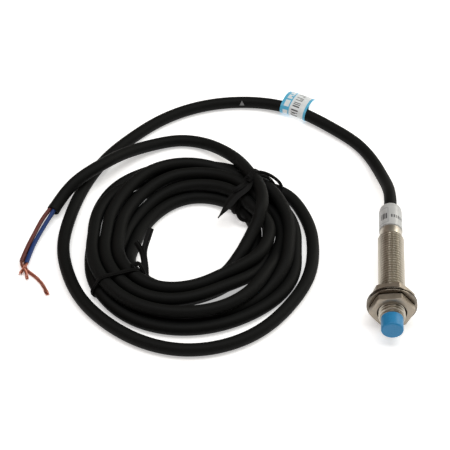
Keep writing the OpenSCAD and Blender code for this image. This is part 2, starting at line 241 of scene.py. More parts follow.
def lane_of(points):
    """How far round the loop, how far outside it and how high some points are."""
    at = np.arange(0, LAP, 0.05)
    base, outward = loop_base(at)
    found = []
    for x, y, z in points:
        i = np.hypot(base[:, 0] - x, base[:, 1] - y).argmin()
        found.append((at[i], ((x, y) - base[i]) @ outward[i], z))
    return found


def easing(held, pull, stiffness):
    """The matrix that draws a stiff line towards its lanes, with its held points left where they are."""
    count = len(held)
    bend = np.zeros((count, count))
    for i in range(1, count - 1):
        bend[i, i - 1:i + 2] = 1, -2, 1
    system = (1 + pull) * np.eye(count) + stiffness * bend.T @ bend
    system[held] = np.eye(count)[held]
    return np.linalg.inv(system)


def wound_coil():
    """Centreline of all turns. Each follows its lanes, settles and keeps clear of the rest."""
    points_per_lap = 116
    step = LAP / points_per_lap
    lead_in = 36
    knots, values = [], []
    for at, out, high in lane_of(LEAD_ROUTE[-6:]):
        knots.append(at - LAP)
        values.append((out, high))
    for turn, row in enumerate(LANES):
        for at, lane in zip(STATIONS, row):
            if turn or at:
                knots.append(turn * LAP + at)
                values.append(lane)
    for at, lane in CLIMB:
        knots.append(WOUND + at)
        values.append(lane)
    for at, out, high in lane_of(TAIL_ROUTE[:2]):
        knots.append(WOUND + at)
        values.append((out, high))
    first = -int(lead_in / step)
    last = int(knots[-1] / step)
    at = np.arange(first, last + 1) * step
    lane = natural_spline(knots, values, at)
    target = lane.copy()
    held = (at < -4) | (at > WOUND + 1)
    free = ~held
    base, outward = loop_base(at)
    # The ties pass under the coil and lift it off the floor there.
    from_upper_tie = np.abs(np.mod(at + LAP / 2, LAP) - LAP / 2)
    from_lower_tie = np.abs(np.mod(at, LAP) - LOWER_TIE_AT)
    lift_reach = 7
    lift = TIE_T * np.exp(-(np.minimum(from_upper_tie, from_lower_tie) / lift_reach) ** 2)
    floor = CABLE_D / 2 + lift * free
    # Two points of the cable can only touch when they are further apart along it than this.
    same_strand = 14
    apart = int(same_strand / step)
    far_enough = CABLE_D * 1.02
    rounds = 420
    pull, stiffness, weight = 0.03, 6.0, 0.01
    ease = easing(held, pull, stiffness)

    def centreline():
        return np.concatenate([base + lane[:, :1] * outward, lane[:, 1:]], axis=1)

    for sweep in range(rounds):
        if sweep % 15 == 0:
            spot = centreline()
            gap = np.linalg.norm(spot[:, None] - spot[None], axis=2)
            order = np.arange(len(at))
            near = (gap < 1.7 * CABLE_D) & (order[:, None] - order[None] > apart)
            first_of, second_of = np.nonzero(near)
        lane = ease @ np.where(held[:, None], lane, lane + pull * target - (0, weight))
        for _ in range(3):
            spot = centreline()
            way = spot[first_of] - spot[second_of]
            dist = np.linalg.norm(way, axis=1)
            push = (np.clip(far_enough - dist, 0, None) / 2 / dist)[:, None] * way
            hit = (dist < far_enough).astype(float)
            total = np.zeros_like(spot)
            np.add.at(total, first_of, push)
            np.add.at(total, second_of, -push)
            hits = np.bincount(first_of, hit, len(at)) + np.bincount(second_of, hit, len(at))
            # A point pushed from several sides takes about the mean of the pushes.
            total /= np.maximum(1, hits / 1.6)[:, None]
            move = np.stack([(total[:, :2] * outward).sum(axis=1), total[:, 2]], axis=1)
            lane[free] += move[free]
            lane[free, 1] = np.maximum(lane[free, 1], floor[free])
    return at, lane, centreline()


coil_at, coil_lane, coil_path = wound_coil()
# The lead's last five points lie within the 34 mm before the first turn, which the coil's line covers.
inside = (coil_at > -34) & (coil_at < WOUND + 1)
cable_path = smooth_path(np.concatenate([LEAD_ROUTE[:-5], coil_path[inside], TAIL_ROUTE[1:]]), 1.25)


# ---------------------------------------------------------------- mesh helpers

def mesh_object(name, points, faces, materials, sharp=35):
    """A new mesh piece from points in millimetres, smooth apart from its sharp edges."""
    mesh = bpy.data.meshes.new(name)
    mesh.from_pydata((np.asarray(points, float) * MM).tolist(), [], [list(map(int, f)) for f in faces])
    shaped = bmesh.new()
    shaped.from_mesh(mesh)
    bmesh.ops.recalc_face_normals(shaped, faces=shaped.faces)
    for face in shaped.faces:
        face.smooth = True
    for edge in shaped.edges:
        if len(edge.link_faces) == 2 and edge.calc_face_angle(0) > math.radians(sharp):
            edge.smooth = False
    shaped.to_mesh(mesh)
    shaped.free()
    for material in materials if isinstance(materials, list) else [materials]:
        mesh.materials.append(material)
    piece = bpy.data.objects.new(name, mesh)
    bpy.context.scene.collection.objects.link(piece)
    return piece


def grid_faces(rows, columns, wrap_rows=False, wrap_columns=False):
    """Quads between the points of a grid that is stored row by row."""
    faces = []
    for i in range(rows if wrap_rows else rows - 1):
        for j in range(columns if wrap_columns else columns - 1):
            a, b = i * columns, (i + 1) % rows * columns
            k = (j + 1) % columns
            faces.append((a + j, a + k, b + k, b + j))
    return faces


def swept(path, section, up=(0, 0, 1), twist=0.0):
    """Points and faces of a closed section, (side, up) pairs, swept along a path and capped.

    The section may be one for the whole path or one for each of its points. twist is in turns over
    the whole path.
    """
    path = np.asarray(path, float)
    section = np.asarray(section, float)
    side, lift = frames(path, up)
    turn = np.linspace(0, TURN * twist, len(path))[:, None]
    across = np.cos(turn) * side + np.sin(turn) * lift
    above = np.cos(turn) * lift - np.sin(turn) * side
    shape = section if section.ndim == 3 else np.repeat(section[None], len(path), axis=0)
    points = path[:, None] + shape[..., :1] * across[:, None] + shape[..., 1:] * above[:, None]
    n = shape.shape[1]
    faces = grid_faces(len(path), n, wrap_columns=True)
    faces.append(list(range(n)))
    faces.append([(len(path) - 1) * n + k for k in range(n)])
    return points.reshape(-1, 3), faces


def circle(d, sides):
    """Outline of a circle, as a section for swept."""
    a = np.arange(sides) * TURN / sides
    return np.stack([np.cos(a), np.sin(a)], axis=1) * d / 2


def joined(parts):
    """Several (points, faces) pairs as one."""
    points, faces, start = [], [], 0
    for p, f in parts:
        points.append(p)
        faces += [[k + start for k in face] for face in f]
        start += len(p)
    return np.concatenate(points), faces


def on_axis(phi, r, y):
    """Points around the sensor's axis."""
    return np.stack([r * np.cos(phi), y + 0 * r, AXIS_Z + r * np.sin(phi)], axis=-1)


def lathe(profile, sides=96):
    """Points and faces of a closed (radius, y) profile turned about the sensor's axis."""
    profile = np.asarray(profile, float)
    phi = np.arange(sides)[:, None] * TURN / sides
    points = on_axis(phi, profile[None, :, 0], profile[None, :, 1] + 0 * phi)
    return points.reshape(-1, 3), grid_faces(sides, len(profile), True, True)


def arc(r_at, y_at, radius, start, end, steps):
    """Part of a circle in a (radius, y) profile, between two angles in degrees from outward to +Y."""
    return [
        (r_at + radius * math.cos(math.radians(a)), y_at + radius * math.sin(math.radians(a)))
        for a in np.linspace(start, end, steps)
    ]


# ---------------------------------------------------------------- materials

def ramp_colour(nodes, links, fac, stops):
    """A colour that follows fac through (position, colour) stops."""
    ramp = nodes.new("ShaderNodeValToRGB")
    ramp.color_ramp.elements[0].position = stops[0][0]
    ramp.color_ramp.elements[0].color = (*stops[0][1], 1)
    ramp.color_ramp.elements[1].position = stops[-1][0]
    ramp.color_ramp.elements[1].color = (*stops[-1][1], 1)
    for position, colour in stops[1:-1]:
        ramp.color_ramp.elements.new(position).color = (*colour, 1)
    links.new(fac, ramp.inputs["Fac"])
    return ramp.outputs["Color"]


def ramp_value(nodes, links, fac, low, high):
    """A value that goes from low to high as fac goes from 0 to 1."""
    spread = nodes.new("ShaderNodeMapRange")
    spread.inputs["To Min"].default_value = low
    spread.inputs["To Max"].default_value = high
    links.new(fac, spread.inputs["Value"])
    return spread.outputs["Result"]


def finish_of(name, dark, light, grain_mm, rough=(0.4, 0.6), metallic=0.0, bump_mm=0.01,
              stretch=(1, 1, 1), specular=0.5, coat=0.0, emission=0.0):
    """A procedural material: colour, roughness and relief vary with one stretched noise.

    The colour goes from dark to light and the roughness through rough, over grains of grain_mm.
    """
    material = bpy.data.materials.new(name)
    material.use_nodes = True
    nodes, links = material.node_tree.nodes, material.node_tree.links
    shader = nodes["Principled BSDF"]
    where = nodes.new("ShaderNodeTexCoord")
    scale = nodes.new("ShaderNodeMapping")
    scale.inputs["Scale"].default_value = [k / (grain_mm * MM) for k in stretch]
    links.new(where.outputs["Object"], scale.inputs["Vector"])
    noise = nodes.new("ShaderNodeTexNoise")
    noise.inputs["Scale"].default_value = 1
    noise.inputs["Detail"].default_value = 4
    noise.inputs["Roughness"].default_value = 0.6
    links.new(scale.outputs["Vector"], noise.inputs["Vector"])
    links.new(ramp_colour(nodes, links, noise.outputs["Fac"], [(0.3, dark), (0.7, light)]),
              shader.inputs["Base Color"])
    links.new(ramp_value(nodes, links, noise.outputs["Fac"], *rough), shader.inputs["Roughness"])
    relief = nodes.new("ShaderNodeBump")
    relief.inputs["Strength"].default_value = 1
    relief.inputs["Distance"].default_value = bump_mm * MM
    links.new(noise.outputs["Fac"], relief.inputs["Height"])
    links.new(relief.outputs["Normal"], shader.inputs["Normal"])
    shader.inputs["Metallic"].default_value = metallic
    shader.inputs["Specular IOR Level"].default_value = specular
    shader.inputs["Coat Weight"].default_value = coat
    if emission:
        shader.inputs["Emission Color"].default_value = (*light, 1)
        shader.inputs["Emission Strength"].default_value = emission
    return material


nickel = finish_of("nickel", (0.47, 0.435, 0.375), (0.55, 0.51, 0.44), 5, (0.35, 0.43), metallic=1,
                   bump_mm=0.001)
# A darker copy of the nickel: painted shade for the thread's grooves.
thread_groove_shade = finish_of("thread_groove_shade", (0.27, 0.245, 0.20), (0.34, 0.31, 0.26), 2, (0.4, 0.5),
                          metallic=1, bump_mm=0.001)
bore_shade = finish_of("bore_shade", (0.06, 0.05, 0.042), (0.10, 0.085, 0.07), 1, (0.4, 0.5),
                       metallic=1, bump_mm=0.001)
# A darker copy of the nickel for the nuts: painted shade, standing for the dimmer reflections their faces
# show.
nut_nickel_shaded = finish_of("nut_nickel_shaded", (0.31, 0.27, 0.22), (0.37, 0.322, 0.262), 1.6, (0.38, 0.48),
                       metallic=1, bump_mm=0.002)
washer_steel = finish_of("washer_steel", (0.12, 0.105, 0.085), (0.22, 0.19, 0.155), 2.5, (0.22, 0.32),
                         metallic=1, bump_mm=0.002)
cap_blue = finish_of("cap_blue", (0.012, 0.19, 0.41), (0.02, 0.225, 0.47), 0.5, (0.38, 0.5),
                     bump_mm=0.006, specular=0.35)
collar_grey = finish_of("collar_grey", (0.40, 0.41, 0.41), (0.48, 0.49, 0.49), 0.8, (0.35, 0.5),
                        bump_mm=0.006)
label_film = finish_of("label_film", (0.43, 0.445, 0.445), (0.49, 0.50, 0.50), 1.5, (0.25, 0.4),
                       bump_mm=0.003)
jacket_black = finish_of("jacket_black", (0.0032, 0.0034, 0.0033), (0.0055, 0.006, 0.0058), 0.45,
                         (0.55, 0.68), bump_mm=0.012, specular=0.1)
tie_black = finish_of("tie_black", (0.003, 0.003, 0.003), (0.006, 0.006, 0.006), 0.3, (0.45, 0.6),
                      bump_mm=0.01, specular=0.08)
core_brown = finish_of("core_brown", (0.10, 0.026, 0.021), (0.15, 0.042, 0.034), 0.4, (0.4, 0.55),
                       bump_mm=0.006, specular=0.25)
core_blue = finish_of("core_blue", (0.008, 0.032, 0.135), (0.014, 0.046, 0.19), 0.4, (0.4, 0.55),
                      bump_mm=0.006, specular=0.25)
core_black = finish_of("core_black", (0.012, 0.012, 0.013), (0.022, 0.022, 0.023), 0.4, (0.35, 0.5),
                       bump_mm=0.006)
copper = finish_of("bare_copper", (0.40, 0.145, 0.10), (0.55, 0.235, 0.17), 0.2, (0.25, 0.45),
                   metallic=1, bump_mm=0.004)
flag_white = finish_of("flag_white", (0.62, 0.66, 0.68), (0.74, 0.78, 0.80), 1.2, (0.25, 0.4),
                       bump_mm=0.004)
print_cyan = finish_of("print_cyan", (0.07, 0.38, 0.60), (0.10, 0.45, 0.68), 0.8, (0.3, 0.45),
                       bump_mm=0.003)
print_dark = finish_of("print_dark", (0.05, 0.05, 0.055), (0.09, 0.09, 0.10), 0.4, (0.4, 0.6),
                       bump_mm=0.003)
print_grey = finish_of("print_grey", (0.30, 0.31, 0.32), (0.36, 0.37, 0.38), 0.4, (0.4, 0.6),
                       bump_mm=0.003)
mark_grey = finish_of("mark_grey", (0.14, 0.145, 0.15), (0.20, 0.205, 0.21), 0.4, (0.4, 0.6),
                      bump_mm=0.003)
ferrite = finish_of("ferrite", (0.03, 0.03, 0.033), (0.06, 0.06, 0.062), 0.3, (0.5, 0.7), bump_mm=0.01)
bobbin_plastic = finish_of("bobbin_plastic", (0.70, 0.66, 0.54), (0.80, 0.76, 0.64), 0.5)
enamelled = finish_of("enamelled_copper", (0.36, 0.10, 0.03), (0.58, 0.20, 0.08), 0.12, (0.2, 0.35),
                      metallic=0.8, bump_mm=0.02, stretch=(1, 6, 1))
potting = finish_of("potting", (0.03, 0.025, 0.02), (0.05, 0.042, 0.036), 1, (0.2, 0.4), bump_mm=0.02)
board_green = finish_of("board_green", (0.01, 0.09, 0.035), (0.015, 0.13, 0.055), 0.5, (0.3, 0.5))
chip_black = finish_of("chip_black", (0.012, 0.012, 0.013), (0.03, 0.03, 0.031), 0.2, (0.5, 0.7))
chip_tan = finish_of("chip_tan", (0.40, 0.27, 0.15), (0.52, 0.38, 0.22), 0.3, (0.4, 0.6))
led_red = finish_of("led_red", (0.62, 0.04, 0.02), (0.8, 0.09, 0.04), 0.3, (0.15, 0.3), bump_mm=0.003,
                    coat=0.3)
seal_rubber = finish_of("seal_rubber", (0.012, 0.012, 0.012), (0.03, 0.03, 0.03), 0.3, (0.6, 0.8),
                        bump_mm=0.015)

CAD_FINISHES = {
    "ferrite_core": ferrite, "coil_bobbin": bobbin_plastic, "sensing_coil": enamelled,
    "coil_end_wires": enamelled, "front_potting": potting, "rear_potting": potting,
    "circuit_board": board_green, "oscillator_chip": chip_black, "output_transistor": chip_black,
    "chip_resistors": chip_black, "chip_capacitors": chip_tan, "indicator_led": led_red,
    "cable_seal": seal_rubber, "cable_root": jacket_black, "brown_inner_lead": core_brown,
    "black_inner_lead": core_black, "blue_inner_lead": core_blue,
}
for node_name, material in CAD_FINISHES.items():
    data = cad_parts[node_name].data
    data.materials.clear()
    data.materials.append(material)


# ---------------------------------------------------------------- placing pieces

def place(piece, body, slot, *nodes):
    """The piece moves with a body and stands for CAD nodes, which are hidden. slot is not used."""
    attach(piece, body)
    if nodes:
        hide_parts(*nodes)
    return piece


# ---------------------------------------------------------------- barrel, cap, collar and label

def thread_height(turns):
    """How full the thread is, from 0 at its root to 1 at its crest. turns is the place in the pitch."""
    # As in a metric thread, the crest is an eighth of the pitch wide and the root a quarter.
    crest, root = 1 / 8, 1 / 4
    from_crest = np.abs(np.mod(turns + 0.5, 1) - 0.5)
    flank_end = (1 - root) / 2
    return np.clip((flank_end - from_crest) / (flank_end - crest / 2), 0, 1)


def thread_radius(phi, y, clearance=0.0):
    """Radius of the right-hand thread. Its phase is fixed to the frame, so the nuts fit at every pose."""
    fill = thread_height(y / PITCH - (0.25 - phi / TURN))
    return THREAD_D / 2 - THREAD_DEPTH * (1 - fill) + clearance


def build_barrel():
    """The threaded tube. The lower part of its thread takes a darker copy of the nickel, painted shade in
    the grooves.
    """
    # Share of the thread's depth below which its faces take the painted groove shade.
    groove_from = 0.55
    sides = 112
    per_pitch = 16
    front = BARREL[0]
    thread_rear = front + THREAD_LENGTH
    rear = BARREL[1]
    phi = np.arange(sides)[:, None] * TURN / sides
    y = np.linspace(front, thread_rear, int(THREAD_LENGTH * per_pitch) + 1)[None]
    root = THREAD_D / 2 - THREAD_DEPTH - 0.05
    cone = root + np.minimum(y - front, thread_rear - y) * 1.3
    r = np.minimum(thread_radius(phi, y), np.maximum(cone, root))
    tail = [(NECK_D / 2, thread_rear + 0.01), *arc(NECK_D / 2 - 0.15, rear - 0.15, 0.15, 0, 90, 4)]
    bore = [(BORE_D / 2, rear), (BORE_D / 2, rear - 2), (BORE_D / 2, front + 2),
            (BORE_D / 2 + 0.1, front)]
    rest = np.array(tail + bore)
    r = np.concatenate([r, np.repeat(rest[None, :, 0], sides, axis=0)], axis=1)
    y = np.concatenate([y, rest[None, :, 1]], axis=1)
    points = on_axis(phi, r, y)
    faces = grid_faces(sides, r.shape[1], True, True)
    piece = mesh_object("barrel_tube", points.reshape(-1, 3), faces, [nickel, thread_groove_shade], 42)
    for face in piece.data.polygons:
        centre = face.center / MM
        deep = THREAD_D / 2 - math.hypot(centre.x, centre.z - AXIS_Z)
        # Faces deep in the thread take the darker copy of the nickel, painted shade.
        groove_shaded = THREAD_DEPTH * groove_from < deep < THREAD_DEPTH + 0.1 and centre.y < thread_rear
        face.material_index = int(groove_shaded)
    return piece


def build_cap():
    """The blue cup, with a rounded front edge."""
    r = CAP_D / 2
    edge = 0.5
    inner = BORE_D / 2 - 0.4
    lip = CAP[0] + 4.6
    profile = [
        (0.02, CAP[0] + 0.03), (1.2, CAP[0] + 0.02), (r - edge - 0.3, CAP[0]),
        *arc(r - edge, CAP[0] + edge, edge, -90, 0, 8),
        (r, CAP[0] + 2), (r, lip), (BORE_D / 2, lip), (BORE_D / 2, CAP[1]), (inner, CAP[1]),
        (inner, CAP[0] + 0.6), (0.02, CAP[0] + 0.6),
    ]
    points, faces = lathe(profile)
    return mesh_object("sensing_cap_shell", points, faces, cap_blue, 50)


def build_collar():
    """The grey moulding round the cable's end, with a rounded shoulder and a small lip."""
    r = COLLAR_D / 2
    shoulder = 1.7
    hole = CABLE_D / 2 + 0.02
    lip = 0.18
    profile = [
        (BORE_D / 2, COLLAR[0]), (BORE_D / 2, COLLAR[0] + SPIGOT), (r - 0.1, COLLAR[0] + SPIGOT),
        (r, COLLAR[0] + SPIGOT + 0.1), (r, COLLAR[1] - shoulder - 1),
        *arc(r - shoulder, COLLAR[1] - shoulder, shoulder, 0, 88, 12),
        *arc(hole + lip, COLLAR[1] - lip, lip, 90, 180, 5),
        (hole, COLLAR[1] - 6.2), (2.4, COLLAR[1] - 6.2), (2.4, COLLAR[0]),
    ]
    points, faces = lathe(profile)
    return mesh_object("tail_collar_moulding", points, faces, collar_grey, 50)


def build_label():
    """The printed film: a thin tube whose outer cells are plain, grey or dark."""
    sides = 144
    inner, outer = COLLAR_D / 2, COLLAR_D / 2 + LABEL_T
    y = np.linspace(LABEL[0], LABEL[1], 83)
    profile = [(outer, v) for v in y] + [(inner, y[-1]), (inner, y[0])]
    points, faces = lathe(profile, sides)
    piece = mesh_object("label_film_sleeve", points, faces, [label_film, print_grey, print_dark], 50)
    for face in piece.data.polygons:
        centre = face.center / MM
        phi = math.degrees(math.atan2(centre.z - AXIS_Z, centre.x)) % 360
        s = centre.y - LABEL[0]
        if math.hypot(centre.x, centre.z - AXIS_Z) > outer - LABEL_T / 3:
            face.material_index = label_print(phi, s)
    return piece


# Ink on the label: from and to an angle, from and to a distance from its front edge, and which ink.
GREY_INK, DARK_INK = 1, 2
LABEL_INK = [
    (0, 360, 0, 0.2, GREY_INK),
    (105, 109.5, 0.9, 7.5, GREY_INK), (163, 167, 0.9, 7.5, GREY_INK),
    (107, 165, 0.9, 1.2, GREY_INK), (107, 165, 7.2, 7.5, GREY_INK),
    (113, 119, 2.6, 5, DARK_INK), (123, 127, 2.6, 5, DARK_INK), (131, 138, 2.6, 5, DARK_INK),
    (142, 147, 2.6, 5, DARK_INK), (86, 93, 3, 4.3, DARK_INK), (73, 81, 3, 4.3, DARK_INK),
    (63, 68, 3, 4.3, DARK_INK), (49, 58, 3, 4.3, DARK_INK), (38, 44, 3, 4.3, DARK_INK),
    (26, 33, 3, 4.3, DARK_INK),
]


def label_print(phi, s):
    """Which ink covers a spot of the label. phi is in degrees, s from its front edge."""
    for phi_from, phi_to, s_from, s_to, ink in LABEL_INK:
        if phi_from <= phi <= phi_to and s_from <= s <= s_to:
            return ink
    return 0


place(build_barrel(), "sensor", "nickel_brass", "barrel")
place(build_cap(), "sensor", "cap_blue", "sensing_cap")
place(build_collar(), "sensor", "collar_grey", "tail_collar")
place(build_label(), "sensor", "label_film", "label_sleeve")


# ---------------------------------------------------------------- nuts and washers

def build_nut(name, node, turn):
    """A thin hexagon nut with chamfered faces, a countersunk bore and a thread that fits the barrel.

    turn is how far it is turned about its axis, in degrees.
    """
    front, rear = reach(node, 1)
    sides = 180
    bore = THREAD_D / 2 + 0.04
    sink = 0.42
    face_slope = math.tan(math.radians(15))
    land = NUT_AF / 2 * 0.96
    corner = NUT_AF / 2 / math.cos(math.radians(30)) - 0.07
    phi = (np.arange(sides) * TURN / sides + math.radians(turn))[:, None]
    from_flat = np.mod(phi - math.radians(turn), TURN / 6) - TURN / 12
    hexagon = np.minimum(NUT_AF / 2 / np.cos(from_flat), corner)
    drop = (hexagon - land) * face_slope
    soft = 0.06
    y_bore = np.linspace(rear, front, 41)[None] + 0 * phi
    cone = bore + sink - np.minimum(y_bore - front, rear - y_bore)
    r_bore = np.maximum(np.minimum(thread_radius(phi, y_bore, 0.05), bore), cone)
    one = np.ones_like(phi)
    columns = [
        (bore + sink + 0.06, front), (land - 0.6, front), (land, front),
        (hexagon - soft, front + drop - soft / 2), (hexagon, front + drop + soft),
        (hexagon, rear - drop - soft), (hexagon - soft, rear - drop + soft / 2),
        (land, rear), (land - 0.6, rear), (bore + sink + 0.06, rear),
    ]
    r = np.concatenate([r_bore] + [c[0] * one for c in columns], axis=1)
    y = np.concatenate([y_bore] + [c[1] * one for c in columns], axis=1)
    points = on_axis(phi, r, y).reshape(-1, 3)
    faces = grid_faces(sides, r.shape[1], True, True)
    # The nuts take the darker, painted-shade copy of the nickel, and painted shade in the bore.
    piece = mesh_object(name, points, faces, [nut_nickel_shaded, bore_shade], 22)
    for face in piece.data.polygons:
        off_axis = math.hypot(face.center.x, face.center.z - AXIS_Z * MM)
        face.material_index = int(off_axis < (bore + sink) * MM)
    return piece


def build_washer(name, node, turn):
    """A lock washer: a rounded rim, and inner teeth that are twisted out of its plane.

    turn is where its first tooth is, in degrees.
    """
    front = reach(node, 1)[0]
    rear = front + WASHER_DRAWN_T
    rim_in, rim_out = WASHER_D / 2 - 1.9, WASHER_D / 2
    edge = 0.12
    tooth_in = THREAD_D / 2 + 0.2
    teeth = 9
    twist = math.radians(13)
    parts = [lathe([
        *arc(rim_out - edge, rear - edge, edge, 0, 90, 4),
        *arc(rim_in + edge, rear - edge, edge, 90, 180, 4),
        *arc(rim_in + edge, front + edge, edge, 180, 270, 4),
        *arc(rim_out - edge, front + edge, edge, 270, 360, 4),
    ], 120)]
    half_w, half_t = 0.72, WASHER_DRAWN_T / 2 - 0.06
    section = [(-half_w, -half_t), (half_w, -half_t), (half_w, half_t), (-half_w, half_t)]
    for k in range(teeth):
        a = math.radians(turn) + k * TURN / teeth
        outward = np.array([math.cos(a), 0, math.sin(a)])
        centre = np.array([0, (front + rear) / 2, AXIS_Z])
        path = centre + np.linspace(tooth_in, rim_in + 0.3, 7)[:, None] * outward
        lean = np.linspace(twist, 0, 7) * np.linspace(1, 0.2, 7)
        shape = []
        for angle in lean:
            c, s = math.cos(angle), math.sin(angle)
            shape.append([(x * c - h * s, x * s * 0.5 + h * c) for x, h in section])
        parts.append(swept(path, np.array(shape), up=(0, 1, 0)))
    points, faces = joined(parts)
    return mesh_object(name, points, faces, washer_steel, 40)


place(build_nut("front_nut_hexagon", "front_nut", 10),
      "front_nut_ring", "nickel_brass", "front_nut")
place(build_nut("rear_nut_hexagon", "rear_nut", 15.5),
      "rear_nut_ring", "nickel_brass", "rear_nut")
place(build_washer("front_lock_washer", "front_washer", 12),
      "front_washer_ring", "washer_steel", "front_washer")
place(build_washer("rear_lock_washer", "rear_washer", 30),
      "rear_washer_ring", "washer_steel", "rear_washer")


# ---------------------------------------------------------------- cable and what is on it

def build_cable():
    """The jacket, as one curve from the collar to its cut end."""
    line = bpy.data.curves.new("main_cable", "CURVE")
    line.dimensions = "3D"
    line.bevel_depth = JACKET_R * MM
    line.bevel_resolution = 5
    line.use_fill_caps = True
    spline = line.splines.new("POLY")
    spline.points.add(len(cable_path) - 1)
    for point, spot in zip(spline.points, cable_path * MM):
        point.co = (*spot, 1)
    spline.use_smooth = True
    line.materials.append(jacket_black)
    piece = bpy.data.objects.new("main_cable", line)
    bpy.context.scene.collection.objects.link(piece)
    return piece


def build_core(name, route, material):
    """An insulated core: a round tube with a slightly drawn-in cut end."""
    path = smooth_path(route, 0.6)
    size = np.ones(len(path))
    size[-1] = 0.86
    section = circle(CORE_DRAWN_D, 20)[None] * size[:, None, None]
    points, faces = swept(path, section)
    return mesh_object(name, points, faces, material, 50)


def build_conductor(name, route, fray, seed, wire=0.3):
    """A bundle of fine copper wires, one amid seven, twisted and a little frayed towards its tip."""
    rng = np.random.default_rng(seed)
    step = 0.3
    turns_per_mm = 0.11
    around = 7
    ring = 1.07 * wire
    path = smooth_path(route, step)
    side, lift = frames(path)
    t = np.linspace(0, 1, len(path))[:, None]
    away = t ** 2.5
    parts = []
    for k in range(around + 1):
        lay = TURN * (k / around + turns_per_mm * len(path) * step * t)
        out = 0 if k == around else ring
        drift = rng.normal(0, 1, 2) * fray
        spot = path + (out * np.cos(lay) + drift[0] * away) * side
        spot = spot + (out * np.sin(lay) + drift[1] * away) * lift
        spot[:, 2] = np.maximum(spot[:, 2], wire / 2 + 0.02)
        cut = len(path) - int(rng.integers(0, 4))
        parts.append(swept(spot[:cut], circle(wire, 8)))
    points, faces = joined(parts)
    return mesh_object(name, points, faces, copper, 60)


def build_jacket_cut():
    """The cut end of the jacket: a thin-walled collar round the cores, with a slightly wavy edge."""
    way = unit(cable_path[-1] - cable_path[-3])
    start = cable_path[-1] - 0.9 * way
    side = unit(np.cross(way, (0, 0, 1)))
    lift = np.cross(side, way)
    wall_out, wall_in = JACKET_R + 0.03, 1.45
    ragged = 0.12
    sides = 48
    profile = np.array([
        (wall_out - 0.03, 0), (wall_out, 0.3), (wall_out, 1.5), (wall_out - 0.08, 1.6),
        (wall_in + 0.1, 1.6), (wall_in, 1.5), (wall_in, 0.2), (wall_in + 0.2, 0),
    ])
    phi = np.arange(sides)[:, None] * TURN / sides
    r, s = profile[None, :, 0], profile[None, :, 1]
    s = s + ragged * np.sin(3 * phi) * (s > 1)
    ring = start + r[..., None] * (np.cos(phi)[..., None] * side + np.sin(phi)[..., None] * lift)
    points = (ring + s[..., None] * way).reshape(-1, 3)
    return mesh_object("jacket_cut", points, grid_faces(sides, len(profile), True, True), jacket_black)


def bundle_hull(at, margin):
    """The taut outline, in (outward, up), round all strands that pass a place on the loop."""
    spacing = 0.8
    passes = [at + k * LAP for k in range(-1, len(LANES) + 1)]
    spots = [coil_lane[np.abs(coil_at - p).argmin()] for p in passes if coil_at[0] <= p <= coil_at[-1]]
    cloud = np.concatenate([spot + circle(CABLE_D + 2 * margin, 48) for spot in spots])
    order = cloud[np.lexsort((cloud[:, 1], cloud[:, 0]))]

    def chain(points):
        kept = []
        for p in points:
            while len(kept) > 1 and np.cross(kept[-1] - kept[-2], p - kept[-2]) <= 0:
                kept.pop()
            kept.append(p)
        return kept[:-1]

    hull = np.array(chain(order) + chain(order[::-1]))
    closed = np.concatenate([hull, hull[:1]])
    length = along(closed)
    marks = np.arange(0, length[-1], spacing)
    return np.stack([np.interp(marks, length, closed[:, k]) for k in range(2)], axis=1)


# Outline of a flat twist tie with a wire along its middle, in parts of its width and thickness.
STRAP = np.array([
    (-0.5, -0.24), (-0.25, -0.24), (-0.14, -0.5), (0.14, -0.5), (0.25, -0.24), (0.5, -0.24),
    (0.5, 0.24), (0.25, 0.24), (0.14, 0.5), (-0.14, 0.5), (-0.25, 0.24), (-0.5, 0.24),
])


def ribbon(path, width, thick, twist=0.0, pointed=False):
    """A length of twist tie along a path. A pointed one narrows to a tip at its end."""
    path = smooth_path(path, 0.5)
    taper = np.ones(len(path))
    if pointed:
        taper = np.clip((1 - np.linspace(0, 1, len(path))) / 0.4, 0.12, 1)
    shape = STRAP * (width, thick) * np.stack([taper, np.ones_like(taper)], axis=1)[:, None]
    return swept(path, shape, twist=twist)


def tie_loop(at, skew):
    """A strap pulled round the bundle. skew is its slant from square to the bundle, in degrees."""
    hull = bundle_hull(at, TIE_T / 2)
    hull[:, 1] = np.maximum(hull[:, 1], TIE_T / 2)
    base, outward = loop_base(at)
    tangent = np.array([-outward[1], outward[0]])
    middle_out = hull[:, 0].mean()
    slide = (hull[:, 0] - middle_out) * math.tan(math.radians(skew))
    plan = base + hull[:, :1] * outward + slide[:, None] * tangent
    ring = np.concatenate([plan, hull[:, 1:]], axis=1)
    closed = np.concatenate([ring[-3:], ring, ring[:3]])
    smooth = [np.convolve(closed[:, k], np.ones(3) / 3, "same") for k in range(3)]
    smooth = np.stack(smooth, axis=1)[3:-3]
    way = unit(np.roll(smooth, -1, axis=0) - np.roll(smooth, 1, axis=0))
    centre = smooth.mean(axis=0)
    away = smooth - centre
    away = unit(away - (away * way).sum(axis=1, keepdims=True) * way)
    side = np.cross(way, away)
    section = STRAP * (TIE_W, TIE_T)
    across, above = section[None, :, :1], section[None, :, 1:]
    points = smooth[:, None] + across * side[:, None] + above * away[:, None]
    return points.reshape(-1, 3), grid_faces(len(smooth), len(section), True, True)


